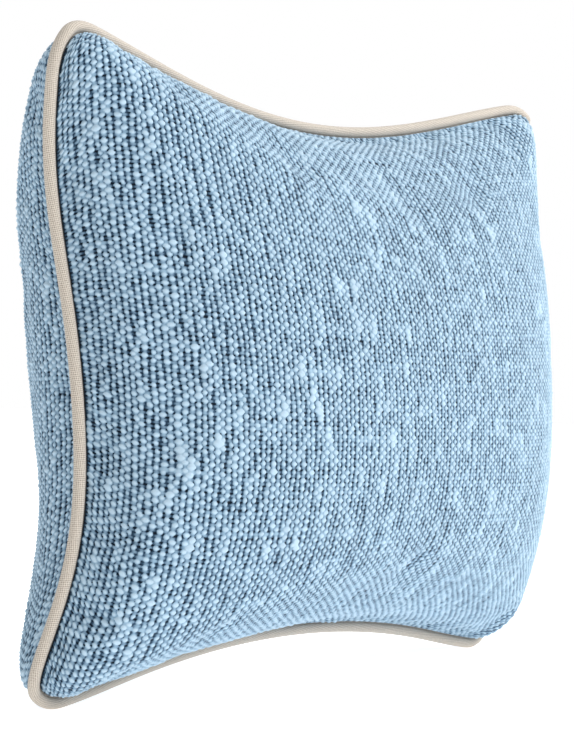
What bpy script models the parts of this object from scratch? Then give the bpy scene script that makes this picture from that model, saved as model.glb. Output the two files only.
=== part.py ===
"""Lumbar support cushion: a piped cover with a zip in the bottom seam, and a filled insert inside it.

The cushion stands upright. X runs along its width, Z is up, the front panel faces -Y.
All the seam pieces are swept along one closed seam line in the plane Y = 0.
A section across the seam is written as (out, y): out is the distance from the seam line,
positive away from the cushion, and y is the depth, positive towards the back.
"""

import math

import bmesh
import bpy
import numpy as np

# Cover, in metres
WIDTH = 0.508          # seam to seam, before the corners are rounded
HEIGHT = 0.356
PULL_TOP = 0.036       # how far the middle of each edge is drawn in by the filling
PULL_BOTTOM = 0.026
PULL_SIDE = 0.020
SEAM_RADIUS = 1.0      # the bottom edge is an arc of this radius, so the zip can run along it
CORNER_WINDOW = 0.064  # length of edge that each rounded corner takes up
CLOTH = 0.0008
BULGE_FRONT = 0.090    # how far each panel swells from the seam
BULGE_BACK = 0.086
BACK_FLAT = 0.080      # the back is pressed flat here, where it leans on a chair
BULGE_POWER = 2.2
BULGE_ROOT = 0.52
FILL_SAG = 0.13        # the filling sits a little below the middle

# Piping
PIPING_RADIUS = 0.0032
PIPING_CLOTH = 0.00065
CORD_RADIUS = 0.0023
FLANGE = 0.012
PLY_GAP = 0.0002
LAP_GAP = 0.0003

# Zip in the bottom seam, on the back
ZIP_HALF = 0.152       # half the length of the opening
TAPE_HALF = 0.151
CHAIN_HALF = 0.144
STOP_AT = 0.1462
STOP_LENGTH = 0.0020
SLIDER_AT = 0.1395
TAPE = 0.0005
CHAIN_Y = 0.0082
COIL_IN, COIL_OUT = 0.0004, 0.0029
COIL_HIGH = 0.0019
COIL_PITCH = 0.003
OPENING_Y = 0.0125

# Insert
INSERT_IN = 0.0145
INSERT_WINDOW = 0.042
INSERT_CLOTH = 0.0006
INSERT_LAP = 0.008
FILL_IN = 0.0245
FILL_WINDOW = 0.032

SEAM_Y = (BULGE_FRONT - BACK_FLAT) / 2

COLUMNS, ROWS = 28, 20
INNER_COLUMNS, INNER_ROWS = 18, 12

COLOURS = {
    "slub_cloth": (0.36, 0.53, 0.68),
    "piping_twill": (0.80, 0.73, 0.62),
    "cotton_cord": (0.88, 0.86, 0.80),
    "zip_tape": (0.33, 0.48, 0.62),
    "nylon_coil": (0.30, 0.44, 0.58),
    "zinc": (0.62, 0.63, 0.64),
    "cotton_sheeting": (0.90, 0.90, 0.88),
    "polyester_fibre": (0.95, 0.95, 0.95),
}


def material(name):
    found = bpy.data.materials.get(name)
    if found:
        return found
    made = bpy.data.materials.new(name)
    made.use_nodes = True
    shader = made.node_tree.nodes["Principled BSDF"]
    shader.inputs["Base Color"].default_value = (*COLOURS[name], 1.0)
    shader.inputs["Roughness"].default_value = 0.35 if name == "zinc" else 0.85
    shader.inputs["Metallic"].default_value = 1.0 if name == "zinc" else 0.0
    made.diffuse_color = (*COLOURS[name], 1.0)
    return made


def add(name, points, faces, cloth, origin=(0.0, 0.0, 0.0)):
    """One piece. Everything is shifted back by SEAM_Y, which puts the whole depth evenly about Y = 0."""
    mesh = bpy.data.meshes.new(name)
    mesh.from_pydata([tuple(p) for p in np.asarray(points, float) - origin], [], [tuple(f) for f in faces])
    solid = bmesh.new()
    solid.from_mesh(mesh)
    bmesh.ops.recalc_face_normals(solid, faces=solid.faces)
    solid.to_mesh(mesh)
    solid.free()
    mesh.update()
    thing = bpy.data.objects.new(name, mesh)
    thing.location = (origin[0], origin[1] + SEAM_Y, origin[2])
    bpy.context.scene.collection.objects.link(thing)
    if cloth:
        mesh.materials.append(material(cloth))
    return thing


def cutter(name, points, faces):
    made = add(name, points, faces, None)
    made.hide_render = True
    made.display_type = "WIRE"
    return made


def cut(thing, tool, how):
    step = thing.modifiers.new(tool.name, "BOOLEAN")
    step.operation = how
    step.solver = "EXACT"
    step.object = tool


# ---------------------------------------------------------------- the seam line


def bottom_edge(x):
    """Height of the bottom edge: an arc over the zip, then an even run down to the corner."""
    x = np.abs(np.asarray(x, float))
    half = WIDTH / 2
    reach = ZIP_HALF + CORNER_WINDOW / 2 + 0.002
    arc = PULL_BOTTOM - (SEAM_RADIUS - np.sqrt(SEAM_RADIUS**2 - np.minimum(x, reach) ** 2))
    start = PULL_BOTTOM - (SEAM_RADIUS - math.sqrt(SEAM_RADIUS**2 - reach**2))
    slope = -reach / math.sqrt(SEAM_RADIUS**2 - reach**2)
    t = np.clip((x - reach) / (half - reach), 0.0, 1.0)
    run = half - reach
    rest = (2 * t**3 - 3 * t**2 + 1) * start + (t**3 - 2 * t**2 + t) * run * slope + (t**3 - t**2) * run * -0.05
    return np.where(x <= reach, arc, rest)


def sharp_outline(inset):
    """The seam line before its corners are rounded, and where its four corners are along it."""
    f = np.linspace(0.0, 1.0, 600, endpoint=False)
    half = WIDTH / 2 - inset
    low, high = inset, HEIGHT - inset
    across = -half + 2 * half * f
    up = low + (high - low) * f
    top = PULL_TOP * (1 - (across / (WIDTH / 2)) ** 2) ** 1.5
    side = PULL_SIDE * (1 - (2 * up / HEIGHT - 1) ** 2) ** 1.5
    runs = [
        np.stack([across, low + bottom_edge(across)], 1),
        np.stack([half - side, up], 1),
        np.stack([-across, high - top], 1),
        np.stack([side - half, HEIGHT - up], 1),
    ]
    return np.concatenate(runs), len(f)


class Seam:
    """A closed seam line with rounded corners, sampled by how far along its sharp outline a point lies."""

    def __init__(self, inset, window):
        points, per_side = sharp_outline(inset)
        closed = np.concatenate([points, points[:1]])
        steps = np.linalg.norm(np.diff(closed, axis=0), axis=1)
        along = np.concatenate([[0.0], np.cumsum(steps)])
        self.total = along[-1]
        self.corners = [along[k * per_side] for k in range(4)] + [self.total]
        self.along = along
        self.sharp = closed
        middle = (closed[1:] + closed[:-1]) / 2 * steps[:, None]
        self.swept = np.concatenate([[[0.0, 0.0]], np.cumsum(middle, axis=0)])
        self.window = window

    def _read(self, table, s):
        laps, rest = np.divmod(s, self.total)
        gain = table[-1] - table[0]
        return np.stack([np.interp(rest, self.along, table[:, k]) + laps * gain[k] for k in (0, 1)], 1)

    def points(self, s):
        half = self.window / 2
        return (self._read(self.swept, s + half) - self._read(self.swept, s - half)) / self.window

    def outward(self, s):
        half = self.window / 2
        way = self._read(self.sharp, s + half) - self._read(self.sharp, s - half)
        way /= np.linalg.norm(way, axis=1)[:, None]
        return np.stack([way[:, 1], -way[:, 0]], 1)

    def stops(self, columns, rows):
        """Where the panel's border points lie: finer near the corners, where the cloth turns most."""
        found = []
        for k, count in enumerate((columns, rows, columns, rows)):
            f = (1 - np.cos(np.pi * np.arange(count) / count)) / 2
            found.append(self.corners[k] + f * (self.corners[k + 1] - self.corners[k]))
        return np.concatenate(found)


COVER = Seam(0.0, CORNER_WINDOW)
INSERT = Seam(INSERT_IN, INSERT_WINDOW)
FILLING = Seam(FILL_IN, FILL_WINDOW)

LOWEST = COVER.stops(COLUMNS, ROWS)
FLOOR = (COVER.points(LOWEST) + COVER.outward(LOWEST) * PIPING_RADIUS)[:, 1].min()
ARC_CENTRE = PULL_BOTTOM - SEAM_RADIUS - FLOOR
ARC_RADIUS = SEAM_RADIUS * math.sin(CORNER_WINDOW / 2 / SEAM_RADIUS) / (CORNER_WINDOW / 2 / SEAM_RADIUS)


def place(seam, s, out, y):
    """A point of a section, carried to the place s along the seam."""
    flat = seam.points(s) + seam.outward(s) * np.broadcast_to(out, s.shape)[:, None]
    return np.stack([flat[:, 0], np.broadcast_to(y, s.shape), flat[:, 1] - FLOOR], 1)


def on_arc(along, out, y):
    """A point of a section, carried along the zip's arc."""
    turn = along / ARC_RADIUS
    reach = ARC_RADIUS - out
    return (reach * math.sin(turn), y, ARC_CENTRE + reach * math.cos(turn))


# ---------------------------------------------------------------- panels


def bulge(u, v, height, flat=None):
    v = v + FILL_SAG * (1 - v**2)
    inside = np.clip(1 - np.abs(u) ** BULGE_POWER, 0, 1) * np.clip(1 - np.abs(v) ** BULGE_POWER, 0, 1)
    lift = height * inside**BULGE_ROOT
    return lift if flat is None else np.minimum(lift, flat)


def border(columns, rows):
    """Grid places of the border points, in the seam's own order."""
    run = [(i, 0) for i in range(columns)] + [(columns, j) for j in range(rows)]
    return run + [(i, rows) for i in range(columns, 0, -1)] + [(0, j) for j in range(rows, 0, -1)]


def flat_grid(seam, columns, rows, out):
    """The panel's grid laid flat inside its border, and its places as fractions of the half width and height."""
    s = seam.stops(columns, rows)
    edge = seam.points(s) + seam.outward(s) * out
    grid = np.zeros((columns + 1, rows + 1, 2))
    for (i, j), p in zip(border(columns, rows), edge):
        grid[i, j] = p
    a = ((1 - np.cos(np.pi * np.arange(columns + 1) / columns)) / 2)[:, None, None]
    b = ((1 - np.cos(np.pi * np.arange(rows + 1) / rows)) / 2)[None, :, None]
    bottom, top = grid[:, :1], grid[:, -1:]
    left, right = grid[:1], grid[-1:]
    blend = (1 - b) * bottom + b * top + (1 - a) * left + a * right
    blend = blend - (
        (1 - a) * (1 - b) * grid[0, 0] + a * (1 - b) * grid[-1, 0] + (1 - a) * b * grid[0, -1] + a * b * grid[-1, -1]
    )
    blend[:, 0], blend[:, -1], blend[0], blend[-1] = grid[:, 0], grid[:, -1], grid[0], grid[-1]
    return blend, 2 * a[:, :, 0] - 1, 2 * b[:, :, 0] - 1


def grid_normals(points):
    across = np.gradient(points, axis=0)
    up = np.gradient(points, axis=1)
    normal = np.cross(across, up)
    return normal / np.linalg.norm(normal, axis=2)[:, :, None]


def panel(seam, side, columns, rows, edge, lap, low, cloth, base, height, flat=None):
    """Points and faces of one sewn panel: its lap inside the seam, the fold, and the swelling face.

    edge is where the fold's outer side lies, lap is how far the lap reaches inwards,
    low is the lap's distance from the middle plane, base is the height at which the face starts.
    """
    s = seam.stops(columns, rows)
    ring = border(columns, rows)
    plan, u, v = flat_grid(seam, columns, rows, edge)
    face = np.zeros((columns + 1, rows + 1, 3))
    face[:, :, 0], face[:, :, 2] = plan[:, :, 0], plan[:, :, 1] - FLOOR
    face[:, :, 1] = base + bulge(u, v, height, flat)
    normal = grid_normals(face)
    normal *= np.sign(normal[:, :, 1:2]) + (normal[:, :, 1:2] == 0)
    under = face - normal * cloth
    under[:, :, 1] = np.maximum(under[:, :, 1], base - cloth)
    inner_border = place(seam, s, edge - cloth, base - cloth)
    for (i, j), p in zip(ring, inner_border):
        under[i, j] = p

    points, outer_at, inner_at = [], {}, {}

    def keep(table, key, p):
        table[key] = len(points)
        points.append((p[0], side * p[1], p[2]))

    for k, (a, b) in enumerate(zip(place(seam, s, -lap, low), place(seam, s, -lap, low + cloth))):
        keep(outer_at, ("lap", k), a)
        keep(inner_at, ("lap", k), b)
    for k, (a, b) in enumerate(zip(place(seam, s, edge, low), place(seam, s, edge - cloth, low + cloth))):
        keep(outer_at, ("fold", k), a)
        keep(inner_at, ("fold", k), b)
    for i in range(columns + 1):
        for j in range(rows + 1):
            keep(outer_at, (i, j), face[i, j])
            keep(inner_at, (i, j), under[i, j])

    cells = []
    count = len(ring)
    for k in range(count):
        n = (k + 1) % count
        cells.append([("lap", k), ("lap", n), ("fold", n), ("fold", k)])
        cells.append([("fold", k), ("fold", n), ring[n], ring[k]])
    for i in range(columns):
        for j in range(rows):
            cells.append([(i, j), (i + 1, j), (i + 1, j + 1), (i, j + 1)])
    halves = [part for a, b, c, d in cells for part in ((a, b, c), (a, c, d))]  # both sides bend along the same diagonal
    faces = [[outer_at[c] for c in half] for half in halves]
    faces += [[inner_at[c] for c in reversed(half)] for half in halves]
    for k in range(count):
        n = (k + 1) % count
        faces.append([outer_at[("lap", n)], outer_at[("lap", k)], inner_at[("lap", k)], inner_at[("lap", n)]])
    return points, faces


COVER_EDGE = -(PIPING_RADIUS + 0.0002)
COVER_LOW = PLY_GAP + PIPING_CLOTH + LAP_GAP
COVER_BASE = COVER_LOW + 2 * CLOTH + LAP_GAP
INSERT_LOW = PLY_GAP
INSERT_BASE = INSERT_LOW + 2 * INSERT_CLOTH + PLY_GAP
SPARE = 0.006


def zip_depth(y):
    """How far inside its border the back panel lies at depth y, at the ends of the zip where it lies deepest."""
    rise = max(y - COVER_BASE, 0.0) / BULGE_BACK
    along = 1 - (ZIP_HALF / (WIDTH / 2)) ** BULGE_POWER
    share = 1 - rise ** (1 / BULGE_ROOT) / along
    return (HEIGHT - PULL_BOTTOM) / 2 * (1 - share ** (1 / BULGE_POWER)) * (1 + 2 * FILL_SAG)


TAPE_OUT = COVER_EDGE - zip_depth(OPENING_Y) - CLOTH - 0.0008


def section_sweep(section, places, closed=False):
    """Faces that join copies of one closed section, set out one after another."""
    size, count = len(section), len(places)
    points = [p for ring in places for p in ring]
    faces = []
    for k in range(count if closed else count - 1):
        n = (k + 1) % count
        for i in range(size):
            j = (i + 1) % size
            faces.append([k * size + i, k * size + j, n * size + j, n * size + i])
    if not closed:
        faces.append(list(range(size)))
        faces.append([(count - 1) * size + i for i in reversed(range(size))])
    return points, faces


def arc_sweep(section, start, end, pieces):
    places = [[on_arc(start + (end - start) * k / pieces, out, y) for out, y in section] for k in range(pieces + 1)]
    return section_sweep(section, places)


# ---------------------------------------------------------------- build


def make_panels():
    lap = FLANGE
    front = panel(COVER, -1, COLUMNS, ROWS, COVER_EDGE, lap, COVER_LOW, CLOTH, COVER_BASE, BULGE_FRONT)
    add("front_panel", *front, "slub_cloth")
    back = panel(COVER, 1, COLUMNS, ROWS, COVER_EDGE, lap, COVER_LOW, CLOTH, COVER_BASE, BULGE_BACK, BACK_FLAT)
    back = add("back_panel", *back, "slub_cloth")
    low, high = COVER_LOW - LAP_GAP / 2, OPENING_Y
    opening = [(-0.018, low), (0.002, low), (0.002, high), (-0.018, high)]
    cut(back, cutter("zip_opening", *arc_sweep(opening, -ZIP_HALF, ZIP_HALF, 16)), "DIFFERENCE")


def make_piping():
    ply = PLY_GAP + PIPING_CLOTH
    inner = PIPING_RADIUS - PIPING_CLOTH
    start = math.pi - math.asin(ply / PIPING_RADIUS)
    mouth = math.pi - math.asin(PLY_GAP / inner)
    section = [(-FLANGE, ply)]
    section += [(PIPING_RADIUS * math.cos(a), PIPING_RADIUS * math.sin(a)) for a in np.linspace(start, -start, 11)]
    section += [(-FLANGE, -ply), (-FLANGE, -PLY_GAP)]
    section += [(inner * math.cos(a), inner * math.sin(a)) for a in np.linspace(-mouth, mouth, 9)]
    section += [(-FLANGE, PLY_GAP)]
    s = COVER.stops(COLUMNS, ROWS)
    lines = [place(COVER, s, out, y) for out, y in section]
    places = [[line[k] for line in lines] for k in range(len(s))]
    add("piping_cover", *section_sweep(section, places, closed=True), "piping_twill")
    cord = [(CORD_RADIUS * math.cos(a), CORD_RADIUS * math.sin(a)) for a in np.arange(8) * math.pi / 4]
    lines = [place(COVER, s, out, y) for out, y in cord]
    places = [[line[k] for line in lines] for k in range(len(s))]
    add("piping_cord", *section_sweep(cord, places, closed=True), "cotton_cord")


def make_tapes():
    near = CHAIN_Y - 0.0006
    low = COVER_LOW
    front = [
        (-FLANGE, low), (-FLANGE, low + TAPE), (TAPE_OUT - TAPE, low + TAPE),
        (TAPE_OUT - TAPE, near), (TAPE_OUT, near), (TAPE_OUT, low),
    ]
    add("zip_tape_front", *arc_sweep(front, -TAPE_HALF, TAPE_HALF, 18), "zip_tape")
    line = [(TAPE_OUT, CHAIN_Y + 0.0006), (TAPE_OUT, OPENING_Y - 0.0008)]
    for y in (OPENING_Y + 0.0025, OPENING_Y + 0.0065):
        line.append((COVER_EDGE - zip_depth(y) - CLOTH - 0.0012, y + 0.0002))
    back = line + [(out - TAPE, y - 0.0002 * (k > 1)) for k, (out, y) in reversed(list(enumerate(line)))]
    add("zip_tape_back", *arc_sweep(back, -TAPE_HALF, TAPE_HALF, 18), "zip_tape")


def make_coils():
    base = TAPE_OUT + 0.0001
    count = int(round(2 * CHAIN_HALF / COIL_PITCH))
    for name, side, shift in (("zip_coil_front", -1, 0), ("zip_coil_back", 1, 1)):
        places = []
        for k in range(2 * count + 1):
            at = -CHAIN_HALF + CHAIN_HALF * k / count
            high = (k + shift) % 2 == 0
            top = base + COIL_HIGH * (1.0 if high else 0.6)
            near = CHAIN_Y + side * (COIL_IN if high else COIL_IN + 0.0007)
            far = CHAIN_Y + side * COIL_OUT
            places.append([on_arc(at, out, y) for out, y in ((base, near), (top, near), (top, far), (base, far))])
        add(name, *section_sweep([0] * 4, places), "nylon_coil")
    for name, at in (("zip_stop_closed", STOP_AT), ("zip_stop_open", -STOP_AT)):
        wide = COIL_OUT + 0.0003
        block = [
            (base, CHAIN_Y - wide), (base + 0.0017, CHAIN_Y - wide), (base + 0.0021, CHAIN_Y - wide + 0.0006),
            (base + 0.0021, CHAIN_Y + wide - 0.0006), (base + 0.0017, CHAIN_Y + wide), (base, CHAIN_Y + wide),
        ]
        add(name, *arc_sweep(block, at - STOP_LENGTH / 2, at + STOP_LENGTH / 2, 1), "zinc")


def prism(outline, low, high):
    """A flat shape given as (along, across), thick from low to high outwards of the tape, at the slider's place."""
    turn = SLIDER_AT / ARC_RADIUS
    foot = on_arc(SLIDER_AT, TAPE_OUT, CHAIN_Y)

    def carry(along, across, up):
        return (
            foot[0] + along * math.cos(turn) - up * math.sin(turn),
            foot[1] + across,
            foot[2] - along * math.sin(turn) - up * math.cos(turn),
        )

    places = [[carry(a, c, h) for a, c in outline] for h in (low, high)]
    return section_sweep(outline, places)


def box(a0, a1, c0, c1):
    return [(a0, c0), (a1, c0), (a1, c1), (a0, c1)]


PLATE_LOW = COIL_HIGH + 0.0001 + 0.00025
PLATE_HIGH = PLATE_LOW + 0.0011
PIVOT_UP = PLATE_HIGH + 0.00075
SLIDER_HALF = 0.0052


def make_slider():
    half, wide = SLIDER_HALF, COIL_OUT + 0.0008
    plate = [
        (-half, -wide * 0.72), (-half * 0.2, -wide * 0.86), (half * 0.45, -wide), (half, -wide * 0.8),
        (half, wide * 0.8), (half * 0.45, wide), (-half * 0.2, wide * 0.86), (-half, wide * 0.72),
    ]
    slider = add(
        "zip_slider", *prism(plate, PLATE_LOW, PLATE_HIGH), "zinc", origin=(0.0, 0.0, ARC_CENTRE)
    )
    under = -TAPE - 0.0003
    parts = [
        ("slider_under", plate, under - 0.0009, under),
        ("slider_post", box(half * 0.35, half * 0.9, -0.00025, 0.00025), under - 0.0002, PLATE_LOW + 0.0002),
        ("slider_leg_a", box(-0.0026, -0.0017, -0.0006, 0.0006), PLATE_HIGH - 0.0002, PIVOT_UP + 0.0012),
        ("slider_leg_b", box(0.0017, 0.0026, -0.0006, 0.0006), PLATE_HIGH - 0.0002, PIVOT_UP + 0.0012),
        ("slider_bridge", box(-0.0024, 0.0024, -0.00055, 0.00055), PIVOT_UP + 0.0008, PIVOT_UP + 0.0015),
    ]
    for name, outline, low, high in parts:
        cut(slider, cutter(name, *prism(outline, low, high)), "UNION")


def make_tab():
    turn = SLIDER_AT / ARC_RADIUS
    foot = on_arc(SLIDER_AT, TAPE_OUT, CHAIN_Y)
    pivot = (foot[0] - PIVOT_UP * math.sin(turn), foot[1], foot[2] - PIVOT_UP * math.cos(turn))
    shape = [
        (0.00045, -0.0021), (0.00045, 0.0021), (-0.0042, 0.0023), (-0.0108, 0.0023), (-0.0126, 0.0014),
        (-0.0130, 0.0), (-0.0126, -0.0014), (-0.0108, -0.0023), (-0.0042, -0.0023),
    ]
    tab = add("zip_pull_tab", *prism(shape, PIVOT_UP - 0.0004, PIVOT_UP + 0.0004), "zinc", origin=pivot)
    eye = cutter("tab_eye", *prism(box(-0.0034, -0.00045, -0.0011, 0.0011), PIVOT_UP - 0.001, PIVOT_UP + 0.001))
    cut(tab, eye, "DIFFERENCE")
    hole = [(-0.0103 + 0.0009 * math.cos(a), 0.0009 * math.sin(a)) for a in np.arange(12) * math.pi / 6]
    cut(tab, cutter("tab_hole", *prism(hole, PIVOT_UP - 0.001, PIVOT_UP + 0.001)), "DIFFERENCE")


def make_insert():
    for name, side, height, flat in (
        ("insert_front_panel", -1, BULGE_FRONT - SPARE, None),
        ("insert_back_panel", 1, BULGE_BACK - SPARE, BACK_FLAT - SPARE / 2),
    ):
        shell = panel(
            INSERT, side, INNER_COLUMNS, INNER_ROWS, 0.0, INSERT_LAP, INSERT_LOW, INSERT_CLOTH, INSERT_BASE, height, flat
        )
        add(name, *shell, "cotton_sheeting")

    plan, u, v = flat_grid(FILLING, INNER_COLUMNS, INNER_ROWS, 0.0)
    wall = 0.006
    points, faces, at = [], [], {}
    for side, height, flat in (
        (-1, BULGE_FRONT - 2 * SPARE - wall, None), (1, BULGE_BACK - 2 * SPARE - wall, BACK_FLAT - SPARE - wall)
    ):
        lift = wall + bulge(u, v, height, flat)
        for i in range(INNER_COLUMNS + 1):
            for j in range(INNER_ROWS + 1):
                at[(side, i, j)] = len(points)
                points.append((plan[i, j, 0], side * lift[i, j], plan[i, j, 1] - FLOOR))
        for i in range(INNER_COLUMNS):
            for j in range(INNER_ROWS):
                cell = [(i, j), (i + 1, j), (i + 1, j + 1), (i, j + 1)]
                faces.append([at[(side, *c)] for c in (cell if side < 0 else reversed(cell))])
    ring = border(INNER_COLUMNS, INNER_ROWS)
    for k, here in enumerate(ring):
        there = ring[(k + 1) % len(ring)]
        faces.append([at[(-1, *there)], at[(-1, *here)], at[(1, *here)], at[(1, *there)]])
    add("insert_filling", points, faces, "polyester_fibre")


for old in list(bpy.data.objects):
    bpy.data.objects.remove(old)
make_panels()
make_piping()
make_tapes()
make_coils()
make_slider()
make_tab()
make_insert()
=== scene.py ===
import math

import bmesh
import bpy
import numpy as np
from mathutils import Matrix, Vector


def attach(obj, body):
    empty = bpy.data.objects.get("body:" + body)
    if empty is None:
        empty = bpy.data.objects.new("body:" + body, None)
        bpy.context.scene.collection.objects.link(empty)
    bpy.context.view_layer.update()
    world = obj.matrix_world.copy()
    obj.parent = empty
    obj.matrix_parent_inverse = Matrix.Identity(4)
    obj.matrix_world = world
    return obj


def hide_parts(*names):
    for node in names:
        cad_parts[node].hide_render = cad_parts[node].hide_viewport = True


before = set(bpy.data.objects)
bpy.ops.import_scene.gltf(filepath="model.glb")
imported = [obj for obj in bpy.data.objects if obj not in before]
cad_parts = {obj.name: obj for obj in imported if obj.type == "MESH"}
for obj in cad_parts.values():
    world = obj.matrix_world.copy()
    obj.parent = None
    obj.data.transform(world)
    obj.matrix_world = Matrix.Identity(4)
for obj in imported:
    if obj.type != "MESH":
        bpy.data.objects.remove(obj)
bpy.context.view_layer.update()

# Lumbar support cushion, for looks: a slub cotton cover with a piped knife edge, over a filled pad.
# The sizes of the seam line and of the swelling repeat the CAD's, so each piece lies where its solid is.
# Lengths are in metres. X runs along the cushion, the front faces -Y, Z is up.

MM = 0.001

# ---------------------------------------------------------------- the cushion's sizes

WIDTH, HEIGHT = 0.508, 0.356
PULL_TOP, PULL_BOTTOM, PULL_SIDE = 0.036, 0.026, 0.020
SEAM_RADIUS = 1.0
CORNER_WINDOW = 0.064
BULGE_FRONT, BULGE_BACK, BACK_FLAT = 0.090, 0.086, 0.080
BULGE_POWER, BULGE_ROOT, FILL_SAG = 2.2, 0.52, 0.13
SEAM_Y = (BULGE_FRONT - BACK_FLAT) / 2
PIPING_RADIUS, PIPING_CLOTH, CORD_RADIUS, FLANGE = 0.0032, 0.00065, 0.0023, 0.012
PLY_GAP = 0.0002
COVER_EDGE, COVER_BASE, COVER_LOW = -0.0034, 0.00305, 0.00115
ZIP_HALF, CHAIN_HALF, CHAIN_Y, OPENING_Y = 0.152, 0.144, 0.0082, 0.0125
INSERT_IN, INSERT_WINDOW, FILL_IN, FILL_WINDOW, SPARE = 0.0145, 0.042, 0.0245, 0.032, 0.006

# How the filling has settled. The near end's edge wanders out of its plane and its corners have turned a little,
# and the far end leans forward, most of all at its top corner. The front is fuller low down towards the far end and
# slacker at the top there, and the back is slacker low down at the near end.
END_WAVE, END_WAVE_2, END_LEAN, FAR_LEAN = 0.0140, -0.0020, -0.0064, -0.0106
NEAR_TOP_CORNER, NEAR_LOW_CORNER, FAR_TOP_CORNER = -0.0016, 0.0058, -0.0225
LOW_FULLNESS, HIGH_SLACK, BACK_SLACK = 0.0070, 0.0120, 0.0095


def bottom_edge(x):
    """Height of the bottom edge: one arc under the zip, which then eases out to the corners."""
    x = np.abs(np.asarray(x, float))
    half = WIDTH / 2
    reach = ZIP_HALF + CORNER_WINDOW / 2 + 0.002
    arc = PULL_BOTTOM - (SEAM_RADIUS - np.sqrt(SEAM_RADIUS**2 - np.minimum(x, reach) ** 2))
    start = PULL_BOTTOM - (SEAM_RADIUS - math.sqrt(SEAM_RADIUS**2 - reach**2))
    slope, last_slope = -reach / math.sqrt(SEAM_RADIUS**2 - reach**2), -0.05
    run = half - reach
    t = np.clip((x - reach) / run, 0.0, 1.0)
    rest = (2 * t**3 - 3 * t**2 + 1) * start + (t**3 - 2 * t**2 + t) * run * slope + (t**3 - t**2) * run * last_slope
    return np.where(x <= reach, arc, rest)


class Seam:
    """A closed seam line with rounded corners, inset from the cover's own."""

    def __init__(self, inset, window):
        f = np.linspace(0.0, 1.0, 600, endpoint=False)
        half, low, high = WIDTH / 2 - inset, inset, HEIGHT - inset
        across, up = -half + 2 * half * f, low + (high - low) * f
        top = PULL_TOP * (1 - (across / (WIDTH / 2)) ** 2) ** 1.5
        side = PULL_SIDE * (1 - (2 * up / HEIGHT - 1) ** 2) ** 1.5
        sharp = np.concatenate([
            np.stack([across, low + bottom_edge(across)], 1), np.stack([half - side, up], 1),
            np.stack([-across, high - top], 1), np.stack([side - half, HEIGHT - up], 1),
        ])
        self.sharp = np.concatenate([sharp, sharp[:1]])
        steps = np.linalg.norm(np.diff(self.sharp, axis=0), axis=1)
        self.along = np.concatenate([[0.0], np.cumsum(steps)])
        self.total = self.along[-1]
        self.corners = np.array([self.along[k * len(f)] for k in range(4)] + [self.total])
        middle = (self.sharp[1:] + self.sharp[:-1]) / 2 * steps[:, None]
        self.swept = np.concatenate([[[0.0, 0.0]], np.cumsum(middle, axis=0)])
        self.window = window

    def _read(self, table, s):
        laps, rest = np.divmod(s, self.total)
        gain = table[-1] - table[0]
        return np.stack([np.interp(rest, self.along, table[:, k]) + laps * gain[k] for k in (0, 1)], -1)

    def points(self, s):
        half = self.window / 2
        return (self._read(self.swept, s + half) - self._read(self.swept, s - half)) / self.window

    def outward(self, s):
        half = self.window / 2
        way = self._read(self.sharp, s + half) - self._read(self.sharp, s - half)
        way = way / np.linalg.norm(way, axis=-1, keepdims=True)
        return np.stack([way[..., 1], -way[..., 0]], -1)

    def side(self, k, share, out):
        """The border on side k (0 bottom, 1 right, 2 top, 3 left), at a share of the way round it."""
        s = self.corners[k] + share * (self.corners[k + 1] - self.corners[k])
        return self.points(s) + self.outward(s) * out

    def shares(self, s):
        """u and v, from -1 to 1, of places along the seam."""
        s = np.mod(s, self.total)
        k = np.clip(np.searchsorted(self.corners, s, side="right") - 1, 0, 3)
        f = (s - self.corners[k]) / (self.corners[k + 1] - self.corners[k])
        u = np.choose(k, [2 * f - 1, 1 + 0 * f, 1 - 2 * f, -1 + 0 * f])
        v = np.choose(k, [-1 + 0 * f, 2 * f - 1, 1 + 0 * f, 1 - 2 * f])
        return u, v


COVER = Seam(0.0, CORNER_WINDOW)
INSERT = Seam(INSERT_IN, INSERT_WINDOW)
FILLING = Seam(FILL_IN, FILL_WINDOW)


def lowest_piping():
    s = np.linspace(0, COVER.total, 4000)
    return (COVER.points(s) + COVER.outward(s) * PIPING_RADIUS)[:, 1].min()


FLOOR = lowest_piping()
ARC_CENTRE = PULL_BOTTOM - SEAM_RADIUS - FLOOR
ARC_RADIUS = SEAM_RADIUS * math.sin(CORNER_WINDOW / 2 / SEAM_RADIUS) / (CORNER_WINDOW / 2 / SEAM_RADIUS)


def soft_step(x, a, b):
    t = np.clip((x - a) / (b - a), 0, 1)
    return t * t * (3 - 2 * t)


def lean(u, v):
    """How far the settled cushion has moved towards the back, at u and v. The zip's edge stays in place."""
    ends = (1 - v**2) ** 0.5
    near = ((1 - u) / 2) ** 3
    far = ((1 + u) / 2) ** 3
    wave = END_WAVE * np.sin(np.pi * v) + END_WAVE_2 * np.sin(2 * np.pi * v)
    corners = near * (NEAR_TOP_CORNER * ((1 + v) / 2) ** 2 + NEAR_LOW_CORNER * ((1 - v) / 2) ** 2)
    far_end = far * (FAR_LEAN * ends**3 + FAR_TOP_CORNER * ((1 + v) / 2) ** 5)
    return near * (wave * ends + END_LEAN * ends**3) + far_end + corners


def swell(u, v, height, flat=None):
    """How far the face stands off the seam's plane."""
    v = v + FILL_SAG * (1 - v**2)
    inside = np.clip(1 - np.abs(u) ** BULGE_POWER, 0, 1) * np.clip(1 - np.abs(v) ** BULGE_POWER, 0, 1)
    lift = height * inside**BULGE_ROOT
    if flat is None:
        return lift
    soft = 0.0016
    return flat - soft * np.logaddexp(0, (flat - lift) / soft)


def patch(u, v, middle, reach):
    """1 at the middle of an oval patch of a face, and less with distance."""
    return np.exp(-(((u - middle[0]) / reach[0]) ** 2) - ((v - middle[1]) / reach[1]) ** 2)


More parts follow.
